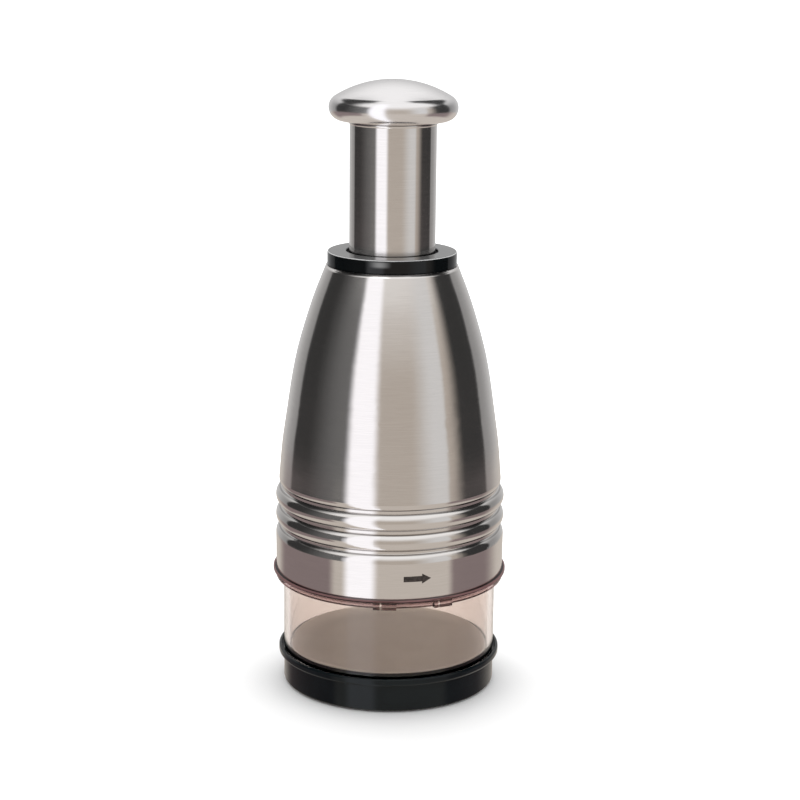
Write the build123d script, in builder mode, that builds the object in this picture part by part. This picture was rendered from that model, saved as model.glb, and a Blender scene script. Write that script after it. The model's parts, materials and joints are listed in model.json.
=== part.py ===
from build123d import *
import os
from math import asin, atan2, cos, degrees, hypot, isclose, pi, radians, sin, sqrt, tan

# Plunger food chopper. Millimetres, +Z up along the plunger, origin at the middle of
# the rubber foot ring's underside. The front of the object faces -Y.

# ------------------------------------------------------------------ driving sizes

# Clearances
RUN_GAP = 0.3            # between bodies that move past each other
SLIDE_FIT = 0.08         # radial, shaft in bore
SNUG = 0.05              # radial, between pieces of one body that are pressed together
EMBED = 0.5              # how far a boss, lug or tooth reaches into its own wall
TINY = 0.001             # tolerance for finding an edge

# Main height and turns
HOUSING_H = 121.2        # steel housing, from the foot of its band to its flat top
BLADE_TURN = 45.0        # degrees the blade turns over one stroke
BAYONET_TURN = 28.0      # degrees from closed to open
FRONT_AT = -90.0         # azimuth of the front, in degrees from +X

# Base cup with its rubber foot ring
BASE_CLEAR = 0.6         # radial, container in the cup
BASE_LIP_T = 1.4         # radial width of the lip
BASE_LIP_OUT = 2.0       # how far the lip stands out beyond the skirt
BASE_LIP_H = 3.0
BASE_LIP_RISE = 2.0      # lip top above the cup's floor
BASE_WALL = 2.0
BASE_FLOOR_Z = 9.4       # underside of the cup's floor
BASE_FLOOR_T = 2.8
SKIRT_ROUND = 0.8
LIP_UNDER_ROUND = 1.0
BASE_RIB_T = 1.6
BASE_RIB_RISE = 1.0      # ribs' foot above the table
BASE_RIBS = 6
BASE_HUB_R = 9.0
FOOT_RING_W = 3.0        # radial width of the rubber
FOOT_PROUD = 0.4         # how far the rubber stands below the skirt

# Clear container
CUP_R = 42.0             # outside
CUP_WALL = 2.2
CUP_FLOOR_T = 2.2
CUP_FOOT_ROUND = 1.4
CUP_INNER_ROUND = 0.8
FLANGE_RISE = 30.8       # flange underside above the container's own underside
FLANGE_INSET = 1.05      # radial, from the bayonet ring's lip in to the flange
FLANGE_T = 2.0
FLANGE_ROUND = 0.3
LEDGE_RISE = 7.2         # scraper ledge above the flange top
LEDGE_W = 1.0
NECK_RISE = 13.3         # rim above the flange top
LUGS = 3
LUG_ARC = 12.0           # degrees
LUG_DEPTH = 1.2
LUG_H = 2.4
LUG_RISE = 3.6           # lug underside above the flange top
MARK_T = 0.6             # radial thickness of the index blocks
MARK_RISE = 0.9          # block top above the flange top
MARK_CLOSED_SPAN = 10.9  # degrees
MARK_OPEN_SPAN = 9.1
MARK_CLOSED_AT = 4.0     # degrees that the closed slit stands left of the front
MARK_SLIT = 0.7          # width of the slit
MARK_SLIT_DEPTH = 0.3
CLOSED_OFFSET = 2.0      # degrees from the closed slit to the middle of its block
OPEN_OFFSET = 2.2        # degrees from the open slit to the middle of its block

# Chopping plate on the container's floor
PLATE_T = 1.3
PLATE_CLEAR = 0.6        # radial, to the container's wall
PLATE_ROUND = 0.6

# Black bayonet ring inside the steel band
RING_T = 2.05            # radial wall
RING_H = 12.0            # ring above the lip
LIP_PROUD = 1.15         # lip beyond the steel band
LIP_H = 1.1
LIP_ROUND = 0.3
SLOT_CLEAR = 0.5         # axial and along the turn, lug to slot
SLOT_DEPTH_CLEAR = 0.3   # radial, lug to slot

# Steel housing
STEEL_T = 0.6
BAND_H = 8.9             # straight band
BEAD_PROUD = 0.1         # crest of the beads beyond the band
BEAD_PITCH = 7.85
BEADS = 2                # full beads above the band's rounded shoulder
BEAD_DEPTH = 1.85        # crest to the lowest groove
GROOVE_STEP = 0.2        # each groove lies this much further in than the one below
GROOVE_FLAT = 0.9        # height of the strip at the bottom of a groove
GROOVE_ROUND = 0.35
FIRST_GROOVE_RISE = 18.0
BELL_FOOT_INSET = 1.3    # bell foot in from the crest of the beads
BELL_FOOT_RISE = 3.0     # bell foot above the top groove
SHOULDER_LEDGE = 0.45    # steel shoulder beyond the collar ring
SHOULDER_ROUND = 1.0
BELL_SHARES = (          # share of the way up the bell, share of the way out
    (0.16, 0.936), (0.31, 0.839), (0.455, 0.741), (0.60, 0.612), (0.74, 0.433), (0.88, 0.219),
)

# Black collar ring and the guide sleeve that it clamps
COLLAR_WALL = 4.55
COLLAR_H = 5.4
COLLAR_ROUND = 0.7
COLLAR_FOOT_BEVEL = 0.3
MOUTH_ROUND = 0.4
COLLAR_MOUTH_GAP = 1.1   # radial, between the tube and the collar's mouth
COLLAR_MOUTH_H = 1.6
NECK_WALL = 3.72         # sleeve's threaded neck
SLEEVE_FLANGE_W = 3.4    # radial width of the flange under the shoulder
SLEEVE_FLANGE_T = 1.8
SLEEVE_WALL = 1.6
STOP_RING_W = 2.1        # radial width of the ring at the foot of the tube
EARS = 3
EAR_R = 3.2
EAR_H = 10.0
EAR_OUT = 2.4            # ear centre beyond the sleeve's outer wall
SCREW_R = 1.2
SCREW_HEAD_R = 2.4
SCREW_HEAD_H = 1.8
SCREW_BITE = 8.0         # length in the ear

# Plunger tube, core and knob
TUBE_WALL = 0.7
TUBE_BEAD_PROUD = 0.25
TUBE_BEAD_H = 1.3
STOP_RING_H = 3.0
PRESS_SPARE = 7.5        # tube foot above the bearing plate with the knob pressed down
KNOB_CLEAR = 11.0        # knob above the collar ring with the knob pressed down
CORE_DROP = 27.6         # core underside below the top of the tube
CORE_L = 18.0
CORE_WEB = 10.0          # bored length
POCKET_CLEAR = 1.0       # radial, washer in the core's pocket
KNOB_R = 24.7
KNOB_T = 0.7
KNOB_DOME_R = 42.5
KNOB_RIM_ROUND = 5.0
KNOB_RIM_RISE = 5.2      # widest circle above the top of the tube
KNOB_SCREWS = 3
KNOB_SCREW_INSET = 3.05  # screw circle in from the core's outside
KNOB_SCREW_R = 0.9
KNOB_SCREW_HEAD_R = 1.8
KNOB_SCREW_HEAD_H = 1.6
KNOB_SCREW_L = 22.0

# Drive rod with its two helical grooves
ROD_R = 7.0
JOURNAL_STEP = 2.0       # radial, rod down to its journal
GROOVES = 2
GROOVE_W = 3.0
GROOVE_DEPTH = 2.2
GROOVE_STATIONS = 9
GROOVE_SPARE = 5.0       # groove beyond the pins at each end of the stroke
WASHER_OVER = 3.0        # radial, washer beyond the journal
WASHER_T = 1.2
ROD_SCREW_R = 1.9
ROD_SCREW_HEAD_R = 3.6
ROD_SCREW_HEAD_H = 2.6
ROD_SCREW_BITE = 12.0

# Bearing plate, ratchet and drive nut
PLATE_MARGIN = 1.6       # bearing plate beyond the sleeve's ears
PLATE_H = 3.0
PLATE_ABOVE_HUB = 3.0    # clear height between the blade holder's hub and the plate
TOWER_GAP = 2.45         # radial, tower to the plunger tube that comes down over it
NUT_WALL = 3.7           # radial, from the rod out
TOWER_WALL = 2.5
TOWER_H = 11.0
TEETH = 8
TOOTH_H = 1.5
TOOTH_SHARE = 0.8        # share of the pitch that one tooth takes
CROWN_T = 2.0
CROWN_CLEAR = 1.0        # radial, rod to crown
NUT_T = 4.0
PIN_R = 1.25
PIN_TIP_CLEAR = 0.3
NUT_WASHER_T = 0.8
CAP_T = 2.0
CAP_OVER = 0.7           # cap beyond the tower
CAP_RIM_W = 1.1
CAP_RIM_H = 1.4

# Return spring
SPRING_CLEAR = 0.75      # radial, to the cap's rim
SPRING_WIRE_R = 0.85
SPRING_TURNS = 9

# Blade and its holder
HOLDER_MARGIN = 1.8      # radial, holder in from the container's bore
HOLDER_T = 8.0
HOLDER_ROUND = 1.5
HUB_WALL = 4.0
HUB_H = 6.0
HOLDER_CLEAR = 1.0       # holder above the scraper at the end of the stroke
BLADE_T = 0.6
BLADE_GRIP = 4.0         # blade held inside the holder
BLADE_BEND = 1.5         # inner radius of its bends
BLADE_EDGE_H = 1.6       # ground edge
BLADE_EDGE_T = 0.16      # land left at the very edge
BLADE_END_INSET = 6.8    # the two ends, sideways in from the container's bore
BLADE_END_BACK = 10.0    # the two ends in front of the axis
BLADE_SIDE_INSET = 5.3   # corner of the two outer bends, before rounding, in from the bore
BLADE_MIDDLE_OVER = 0.7  # corner of the middle bend, before rounding, beyond the bore
ROD_SEAT = 9.0           # length of the rod inside the holder's hub
HOLDER_SCREW_R = 2.0
HOLDER_SCREW_HEAD_R = 4.0
HOLDER_SCREW_HEAD_H = 2.6
HOLDER_SCREW_BITE = 12.0

# Scraper disc
SCRAPER_T = 3.7
SCRAPER_SLOT = 1.6       # width of the zigzag slot

# ------------------------------------------------------------------ stations along Z

base_floor = BASE_FLOOR_Z + BASE_FLOOR_T
base_lip_top = base_floor + BASE_LIP_RISE
cup_foot = base_floor + RUN_GAP
cup_floor = cup_foot + CUP_FLOOR_T
plate_top = cup_floor + PLATE_T
flange_foot = cup_foot + FLANGE_RISE
flange_top = flange_foot + FLANGE_T
ledge = flange_top + LEDGE_RISE
cup_rim = flange_top + NECK_RISE
scraper_foot = ledge + RUN_GAP
scraper_top = scraper_foot + SCRAPER_T
lip_foot = flange_top + RUN_GAP
band_foot = lip_foot + LIP_H
shell_top = band_foot + HOUSING_H
collar_top = shell_top + COLLAR_H

# The plunger's travel: half of the height that the fixed pieces leave free in the housing
blade_stack = HOLDER_CLEAR + HOLDER_T + HUB_H + PLATE_ABOVE_HUB + PLATE_H
tube_stack = PRESS_SPARE + STOP_RING_H + RUN_GAP + SLEEVE_FLANGE_T + STEEL_T
stroke = (shell_top - scraper_top - blade_stack - tube_stack) / 2

mark_top = flange_top + MARK_RISE
lug_foot = flange_top + LUG_RISE

blade_edge = plate_top + RUN_GAP + stroke
holder_foot = scraper_top + HOLDER_CLEAR + stroke
holder_top = holder_foot + HOLDER_T
hub_top = holder_top + HUB_H
rod_foot = hub_top - ROD_SEAT
plate_foot = hub_top + PLATE_ABOVE_HUB
tower_foot = plate_foot + PLATE_H
tower_top = tower_foot + TOWER_H
crown_top = tower_foot + CROWN_T
nut_foot = crown_top + TOOTH_H + RUN_GAP + TOOTH_H
nut_top = nut_foot + NUT_T
pin_z = nut_foot + NUT_T / 2
cap_top = tower_top + CAP_T

tube_foot = tower_foot + PRESS_SPARE + stroke
stop_ring_top = tube_foot + STOP_RING_H
sleeve_shoulder = stop_ring_top + RUN_GAP
tube_top = collar_top + KNOB_CLEAR + stroke
core_foot = tube_top - CORE_DROP
core_top = core_foot + CORE_L
web_top = core_foot + CORE_WEB
rod_shoulder = core_foot - RUN_GAP
journal_top = web_top + RUN_GAP
screw_seat = journal_top + WASHER_T

# ------------------------------------------------------------------ radii from the axis

base_bore = CUP_R + BASE_CLEAR
base_lip_r = base_bore + BASE_LIP_T
base_r = base_lip_r - BASE_LIP_OUT
foot_ring_r = base_r - BASE_WALL - SNUG
cup_bore = CUP_R - CUP_WALL
neck_bore = cup_bore + LEDGE_W
lug_r = CUP_R + LUG_DEPTH
holder_r = cup_bore - HOLDER_MARGIN

ring_bore = CUP_R + RUN_GAP
ring_r = ring_bore + RING_T
band_bore = ring_r + SNUG
band_r = band_bore + STEEL_T
lip_r = band_r + LIP_PROUD
flange_r = lip_r - FLANGE_INSET
mark_bore = lip_r + RUN_GAP
mark_r = mark_bore + MARK_T
bead_r = band_r + BEAD_PROUD
bell_foot_r = bead_r - BELL_FOOT_INSET

rod_hole = ROD_R + RUN_GAP
nut_r = ROD_R + NUT_WALL
tower_bore = nut_r + RUN_GAP
tower_r = tower_bore + TOWER_WALL
cap_r = tower_r + CAP_OVER
cap_rim_bore = cap_r - CAP_RIM_W
spring_r = cap_rim_bore - SPRING_CLEAR - SPRING_WIRE_R

tube_bore = tower_r + TOWER_GAP
tube_r = tube_bore + TUBE_WALL
tube_bead_r = tube_r + TUBE_BEAD_PROUD
guide_bore = tube_r + SLIDE_FIT
stop_ring_r = tube_r + STOP_RING_W
sleeve_bore = stop_ring_r + RUN_GAP
sleeve_r = sleeve_bore + SLEEVE_WALL
ear_at = sleeve_r + EAR_OUT
plate_r = ear_at + EAR_R + PLATE_MARGIN
neck_r = guide_bore + NECK_WALL
sleeve_flange_r = neck_r + SLEEVE_FLANGE_W
collar_bore = neck_r + SNUG
collar_r = collar_bore + COLLAR_WALL
shoulder_r = collar_r + SHOULDER_LEDGE

journal_r = ROD_R - JOURNAL_STEP
washer_r = journal_r + WASHER_OVER
hub_r = ROD_R + HUB_WALL
core_r = tube_bore - SNUG
core_pocket_r = washer_r + POCKET_CLEAR
knob_screw_at = core_r - KNOB_SCREW_INSET

# Corners of the W-shaped blade before rounding, and its pitch on the rod
blade_step = (cup_bore - BLADE_END_INSET) / 2
blade_side_y = cup_bore - BLADE_SIDE_INSET
blade_middle_y = -(cup_bore + BLADE_MIDDLE_OVER)
blade_end_y = -BLADE_END_BACK
turn_per_mm = BLADE_TURN / stroke


def write(piece, name):
    """Names the finished piece and writes its STEP file."""
    piece.part.label = name
    export_step(piece.part, f"parts/{name}.step")


def ring_outline(inner, outer, z):
    """A flat ring at height z."""
    with BuildSketch(Plane.XY.offset(z)) as outline:
        Circle(outer)
        Circle(inner, mode=Mode.SUBTRACT)
    return outline.sketch


def sector_outline(inner, outer, middle, span, z):
    """A piece of a flat ring, span degrees wide about the azimuth middle."""
    reach = (outer + EMBED) / cos(radians(span / 4))
    rays = [radians(middle + share * span) for share in (-0.5, 0, 0.5)]
    with BuildSketch(Plane.XY.offset(z)) as outline:
        Circle(outer)
        Circle(inner, mode=Mode.SUBTRACT)
        with BuildLine():
            Polyline((0, 0), *[(reach * cos(ray), reach * sin(ray)) for ray in rays], (0, 0))
        make_face(mode=Mode.INTERSECT)
    return outline.sketch


def ring_edges(piece, radius, z):
    """The round edges of a piece about the Z axis, of the given radius and height."""
    return [
        edge for edge in piece.edges().filter_by(GeomType.CIRCLE)
        if isclose(edge.radius, radius, abs_tol=TINY)
        and isclose(edge.arc_center.Z, z, abs_tol=TINY)
    ]


def near_point(vertices, r, z):
    """The vertex of a profile that lies nearest to radius r and height z."""
    return vertices.sort_by_distance((r, z, 0))[0]


def zigzag_outline(width, z, spare=0.0):
    """The W-shaped zigzag as a strip of the given width, its two ends longer by spare."""
    share = spare / hypot(blade_step, blade_side_y - blade_end_y)
    end_x = 2 * blade_step + share * blade_step
    end_y = blade_end_y - share * (blade_side_y - blade_end_y)
    corners = (
        (-end_x, end_y),
        (-blade_step, blade_side_y),
        (0, blade_middle_y),
        (blade_step, blade_side_y),
        (end_x, end_y),
    )
    with BuildSketch(Plane.XY.offset(z)) as strip:
        with BuildLine() as middle:
            FilletPolyline(*corners, radius=BLADE_BEND + BLADE_T / 2)
        trace(middle.line, line_width=width)
    return strip.sketch


# ------------------------------------------------------------------ base

lip_crown = BASE_LIP_T / 2
lip_under = base_lip_top - BASE_LIP_H
skirt_bore = base_r - BASE_WALL
foot_ring_bore = foot_ring_r - FOOT_RING_W
rib_reach = foot_ring_bore - SNUG

with BuildPart() as base_cup:
    with BuildSketch(Plane.XZ):
        with BuildLine():
            Polyline(
                (0, BASE_FLOOR_Z),
                (0, base_floor),
                (base_bore, base_floor),
                (base_bore, base_lip_top - lip_crown),
            )
            ThreePointArc(
                (base_bore, base_lip_top - lip_crown),
                (base_lip_r - lip_crown, base_lip_top),
                (base_lip_r, base_lip_top - lip_crown),
            )
            Polyline(
                (base_lip_r, base_lip_top - lip_crown),
                (base_lip_r, lip_under),
                (base_r, lip_under),
                (base_r, FOOT_PROUD),
                (skirt_bore, FOOT_PROUD),
                (skirt_bore, BASE_FLOOR_Z),
                (0, BASE_FLOOR_Z),
            )
        make_face()
    revolve(axis=Axis.Z)
    # channel wall that holds the rubber, hub and stiffening ribs under the floor
    with BuildSketch(Plane.XY.offset(BASE_RIB_RISE)):
        Circle(rib_reach)
        Circle(rib_reach - BASE_RIB_T, mode=Mode.SUBTRACT)
        Circle(BASE_HUB_R)
        with PolarLocations((rib_reach + BASE_HUB_R - BASE_RIB_T) / 2, BASE_RIBS):
            Rectangle(rib_reach - BASE_HUB_R, BASE_RIB_T)
        Circle(BASE_HUB_R - BASE_RIB_T, mode=Mode.SUBTRACT)
    extrude(amount=BASE_FLOOR_Z - BASE_RIB_RISE)
    fillet(ring_edges(base_cup, base_r, FOOT_PROUD), radius=SKIRT_ROUND)
    fillet(ring_edges(base_cup, base_lip_r, lip_under), radius=LIP_UNDER_ROUND)
write(base_cup, "base_cup")

with BuildPart() as non_slip_ring:
    extrude(ring_outline(foot_ring_bore, foot_ring_r, 0), amount=BASE_FLOOR_Z)
    fillet(non_slip_ring.edges().group_by(Axis.Z)[0], radius=FOOT_PROUD)
write(non_slip_ring, "non_slip_ring")

# ------------------------------------------------------------------ container

closed_slit_at = FRONT_AT - MARK_CLOSED_AT
open_slit_at = closed_slit_at + BAYONET_TURN

with BuildPart() as container:
    with BuildSketch(Plane.XZ):
        with BuildLine():
            Polyline(
                (0, cup_foot),
                (CUP_R, cup_foot),
                (CUP_R, flange_foot),
                (flange_r, flange_foot),
                (flange_r, flange_top),
                (CUP_R, flange_top),
                (CUP_R, cup_rim),
                (neck_bore, cup_rim),
                (neck_bore, ledge),
                (cup_bore, ledge),
                (cup_bore, cup_floor),
                (0, cup_floor),
                (0, cup_foot),
            )
        make_face()
    revolve(axis=Axis.Z)
    fillet(ring_edges(container, CUP_R, cup_foot), radius=CUP_FOOT_ROUND)
    fillet(ring_edges(container, cup_bore, cup_floor), radius=CUP_INNER_ROUND)
    fillet(ring_edges(container, flange_r, flange_foot), radius=FLANGE_ROUND)
    fillet(ring_edges(container, flange_r, flange_top), radius=FLANGE_ROUND)
    # bayonet lugs on the neck
    for lug in range(LUGS):
        middle = closed_slit_at + lug * 360 / LUGS
        lug_plan = sector_outline(CUP_R - EMBED, lug_r, middle, LUG_ARC, lug_foot)
        extrude(lug_plan, amount=LUG_H)
    # index blocks on the flange, each with a fine slit
    for slit_at, span, shift in (
        (closed_slit_at, MARK_CLOSED_SPAN, CLOSED_OFFSET),
        (open_slit_at, MARK_OPEN_SPAN, OPEN_OFFSET),
    ):
        middle = slit_at + shift
        foot_plan = sector_outline(flange_r - EMBED, mark_r, middle, span, flange_foot)
        extrude(foot_plan, amount=FLANGE_T)
        tab_plan = sector_outline(mark_bore, mark_r, middle, span, flange_foot)
        extrude(tab_plan, amount=mark_top - flange_foot)
        slit_plan = sector_outline(
            mark_r - MARK_SLIT_DEPTH, mark_r + EMBED, slit_at, degrees(MARK_SLIT / mark_r),
            flange_foot - EMBED,
        )
        extrude(slit_plan, amount=mark_top - flange_foot + 2 * EMBED, mode=Mode.SUBTRACT)
write(container, "container")

with BuildPart() as chopping_plate:
    with BuildSketch(Plane.XY.offset(cup_floor)):
        Circle(cup_bore - PLATE_CLEAR)
    extrude(amount=PLATE_T)
    fillet(chopping_plate.edges().group_by(Axis.Z)[-1], radius=PLATE_ROUND)
    chamfer(chopping_plate.edges().group_by(Axis.Z)[0], length=CUP_INNER_ROUND)
write(chopping_plate, "chopping_plate")

# ------------------------------------------------------------------ housing

first_groove = band_foot + FIRST_GROOVE_RISE
groove_spots = [
    (bead_r - BEAD_DEPTH - groove * GROOVE_STEP, first_groove + groove * BEAD_PITCH)
    for groove in range(BEADS + 1)
]
bell_foot = groove_spots[-1][1] + BELL_FOOT_RISE


def groove_corners(inset):
    """Lower and upper corners of the strips at the bottom of the grooves."""
    half_flat = (GROOVE_FLAT + inset) / 2
    lower = [(r - inset, z - half_flat) for r, z in groove_spots]
    upper = [(r - inset, z + half_flat) for r, z in groove_spots]
    return lower, upper


def shell_outline(inset, top):
    """Outline of the steel shell from the foot of the band to its flat top."""
    lower, upper = groove_corners(inset)
    shoulder = (bead_r - inset, first_groove - BEAD_PITCH / 2)
    foot = (bell_foot_r - inset, bell_foot)
    bell = [
        (
            shoulder_r - inset + out * (bell_foot_r - shoulder_r),
            bell_foot + up * (shell_top - bell_foot),
        )
        for up, out in BELL_SHARES
    ]
    crown = (shoulder_r - inset, top)
    Polyline((band_r - inset, band_foot), (band_r - inset, band_foot + BAND_H), shoulder)
    TangentArc(shoulder, lower[0], tangent=(0, 1))
    for corner, next_corner in zip(upper, lower[1:]):
        ThreePointArc(corner, (bead_r - inset, (corner[1] + next_corner[1]) / 2), next_corner)
    for corner, next_corner in zip(lower, upper):
        Line(corner, next_corner)
    slope = (bell[0][0] - foot[0], bell[0][1] - foot[1])
    TangentArc(foot, upper[-1], tangent=(-slope[0], -slope[1]))
    Spline(foot, *bell, crown, tangents=[slope, (crown[0] - bell[-1][0], crown[1] - bell[-1][1])])
    Line(crown, (collar_bore, top))


with BuildPart() as housing_shell:
    with BuildSketch(Plane.XZ) as shell_profile:
        with BuildLine():
            shell_outline(0, shell_top)
            shell_outline(STEEL_T, shell_top - STEEL_T)
            Line((band_r, band_foot), (band_r - STEEL_T, band_foot))
            Line((collar_bore, shell_top), (collar_bore, shell_top - STEEL_T))
        make_face()
        corners = shell_profile.vertices()
        for inset, top, round_groove, round_top in (
            (0, shell_top, GROOVE_ROUND, SHOULDER_ROUND),
            (STEEL_T, shell_top - STEEL_T, GROOVE_ROUND + STEEL_T, SHOULDER_ROUND - STEEL_T),
        ):
            for lower_or_upper in groove_corners(inset):
                for r, z in lower_or_upper:
                    fillet(near_point(corners, r, z), radius=round_groove)
            fillet(near_point(corners, shoulder_r - inset, top), radius=round_top)
    revolve(axis=Axis.Z)
write(housing_shell, "housing_shell")

slot_margin = degrees(SLOT_CLEAR / lug_r)
slot_r = lug_r + SLOT_DEPTH_CLEAR

with BuildPart() as bayonet_ring:
    extrude(ring_outline(ring_bore, lip_r, lip_foot), amount=LIP_H)
    extrude(ring_outline(ring_bore, ring_r, band_foot), amount=RING_H)
    fillet(ring_edges(bayonet_ring, lip_r, lip_foot), radius=LIP_ROUND)
    # L-shaped slots for the lugs: a level run and an entry at its open end
    for lug in range(LUGS):
        middle = closed_slit_at + lug * 360 / LUGS
        run = sector_outline(
            ring_bore - EMBED, slot_r, middle - BAYONET_TURN / 2,
            LUG_ARC + BAYONET_TURN + 2 * slot_margin, lug_foot - SLOT_CLEAR,
        )
        extrude(run, amount=LUG_H + 2 * SLOT_CLEAR, mode=Mode.SUBTRACT)
        entry = sector_outline(
            ring_bore - EMBED, slot_r, middle - BAYONET_TURN,
            LUG_ARC + 2 * slot_margin, lip_foot - EMBED,
        )
        extrude(entry, amount=lug_foot - lip_foot + EMBED, mode=Mode.SUBTRACT)
write(bayonet_ring, "bayonet_ring")

neck_top = collar_top - COLLAR_MOUTH_H
mouth_r = tube_r + COLLAR_MOUTH_GAP

with BuildPart() as collar_ring:
    extrude(ring_outline(mouth_r, collar_r, shell_top), amount=COLLAR_H)
    extrude(
        ring_outline(mouth_r - EMBED, collar_bore, shell_top),
        amount=COLLAR_H - COLLAR_MOUTH_H,
        mode=Mode.SUBTRACT,
    )
    fillet(ring_edges(collar_ring, collar_r, collar_top), radius=COLLAR_ROUND)
    fillet(ring_edges(collar_ring, mouth_r, collar_top), radius=MOUTH_ROUND)
    chamfer(ring_edges(collar_ring, collar_r, shell_top), length=COLLAR_FOOT_BEVEL)
write(collar_ring, "collar_ring")

with BuildPart() as guide_sleeve:
    extrude(ring_outline(guide_bore, neck_r, sleeve_shoulder), amount=neck_top - sleeve_shoulder)
    extrude(ring_outline(guide_bore, sleeve_flange_r, sleeve_shoulder), amount=SLEEVE_FLANGE_T)
    extrude(ring_outline(sleeve_bore, sleeve_r, tower_foot), amount=sleeve_shoulder - tower_foot)
    with BuildSketch(Plane.XY.offset(tower_foot)):
        with PolarLocations(ear_at, EARS):
            Circle(EAR_R)
        Circle(sleeve_r - EMBED, mode=Mode.SUBTRACT)
    extrude(amount=EAR_H)
    with Locations((0, 0, tower_foot)):
        with PolarLocations(ear_at, EARS):
            Hole(SCREW_R + SNUG, depth=EAR_H)
write(guide_sleeve, "guide_sleeve")

with BuildPart() as bearing_plate:
    extrude(ring_outline(rod_hole, plate_r, plate_foot), amount=PLATE_H)
    extrude(ring_outline(tower_bore, tower_r, tower_foot), amount=TOWER_H)
    with Locations((0, 0, tower_foot)):
        with PolarLocations(ear_at, EARS):
            Hole(SCREW_R + SNUG, depth=PLATE_H)
write(bearing_plate, "bearing_plate")

with BuildPart() as bearing_screws:
    with BuildSketch(Plane.XY.offset(plate_foot - SCREW_HEAD_H)):
        with PolarLocations(ear_at, EARS):
            Circle(SCREW_HEAD_R)
    extrude(amount=SCREW_HEAD_H)
    with BuildSketch(Plane.XY.offset(plate_foot)):
        with PolarLocations(ear_at, EARS):
            Circle(SCREW_R)
    extrude(amount=PLATE_H + SCREW_BITE)
write(bearing_screws, "bearing_screws")

# ------------------------------------------------------------------ ratchet and drive nut

crown_bore = ROD_R + CROWN_CLEAR
crown_r = tower_bore - SNUG
tooth_w = TOOTH_SHARE * 2 * pi * crown_bore / TEETH
tooth_out = sqrt((nut_r - SNUG) ** 2 - (tooth_w / 2) ** 2)


def saw_tooth(face_z, up):
    """One saw tooth on a ring's end face; up is +1 for a tooth that stands up, -1 for down."""
    side = Plane(origin=(crown_bore + SNUG, 0, face_z), x_dir=(0, 1, 0), z_dir=(1, 0, 0))
    with BuildSketch(side) as tooth:
        with BuildLine():
            Polyline(
                (-tooth_w / 2, -EMBED * up),
                (tooth_w / 2, -EMBED * up),
                (up * tooth_w / 2, TOOTH_H * up),
                (-tooth_w / 2, -EMBED * up),
            )
        make_face()
    with BuildPart() as one_tooth:
        extrude(tooth.sketch, amount=tooth_out - crown_bore - SNUG)
    return one_tooth.part


crown_tooth = saw_tooth(crown_top, 1)
nut_tooth = saw_tooth(nut_foot, -1)

with BuildPart() as ratchet_crown:
    extrude(ring_outline(crown_bore, crown_r, tower_foot), amount=CROWN_T)
    with PolarLocations(0, TEETH):
        add(crown_tooth)
write(ratchet_crown, "ratchet_crown")

with BuildPart() as drive_nut:
    extrude(ring_outline(ROD_R + SLIDE_FIT, nut_r, nut_foot), amount=NUT_T)
    with PolarLocations(0, TEETH):
        add(nut_tooth)
    for groove in range(GROOVES):
        with Locations(Plane.XY.offset(pin_z).rotated((0, 0, groove * 360 / GROOVES))):
            Cylinder(
                PIN_R + SNUG, nut_r + EMBED, rotation=(0, 90, 0),
                align=(Align.CENTER, Align.CENTER, Align.MIN), mode=Mode.SUBTRACT,
            )
write(drive_nut, "drive_nut")

pin_tip = ROD_R - GROOVE_DEPTH + PIN_TIP_CLEAR

with BuildPart() as nut_pins:
    for groove in range(GROOVES):
        with Locations(Plane.XY.offset(pin_z).rotated((0, 0, groove * 360 / GROOVES))):
            with Locations((pin_tip, 0, 0)):
                Cylinder(
                    PIN_R, nut_r - pin_tip - SNUG, rotation=(0, 90, 0),
                    align=(Align.CENTER, Align.CENTER, Align.MIN),
                )
write(nut_pins, "nut_pins")

with BuildPart() as nut_washer:
    extrude(ring_outline(crown_bore, nut_r, nut_top), amount=NUT_WASHER_T)
write(nut_washer, "nut_washer")

spigot_foot = nut_top + NUT_WASHER_T + RUN_GAP

with BuildPart() as nut_cap:
    extrude(ring_outline(rod_hole, cap_r, tower_top), amount=CAP_T)
    extrude(ring_outline(cap_rim_bore, cap_r, cap_top), amount=CAP_RIM_H)
    extrude(ring_outline(rod_hole, tower_bore - SNUG, spigot_foot), amount=tower_top - spigot_foot)
write(nut_cap, "nut_cap")

spring_low = cap_top + SPRING_WIRE_R + SNUG
spring_high = core_foot - SPRING_WIRE_R - SNUG
spring_length = spring_high - spring_low

with BuildPart() as return_spring:
    with BuildLine() as coil:
        Helix(spring_length / SPRING_TURNS, spring_length, spring_r, center=(0, 0, spring_low))
    with BuildSketch(Plane(origin=coil.line @ 0, z_dir=coil.line % 0)):
        Circle(SPRING_WIRE_R)
    sweep(path=coil.line, is_frenet=True)
write(return_spring, "return_spring")

# ------------------------------------------------------------------ plunger

bead_foot = tube_top - TUBE_BEAD_H

with BuildPart() as plunger_tube:
    with BuildSketch(Plane.XZ):
        with BuildLine():
            Polyline(
                (tube_bore, tube_top),
                (tube_bore, tube_foot),
                (tube_r, tube_foot),
                (tube_r, bead_foot),
            )
            ThreePointArc(
                (tube_r, bead_foot),
                (tube_bead_r, bead_foot + TUBE_BEAD_H / 2),
                (tube_r, tube_top),
            )
            Line((tube_r, tube_top), (tube_bore, tube_top))
        make_face()
    revolve(axis=Axis.Z)
write(plunger_tube, "plunger_tube")

with BuildPart() as stop_ring:
    extrude(ring_outline(tube_r + SNUG, stop_ring_r, tube_foot), amount=STOP_RING_H)
write(stop_ring, "stop_ring")

knob_pocket_r = KNOB_SCREW_HEAD_R + SNUG

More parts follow.
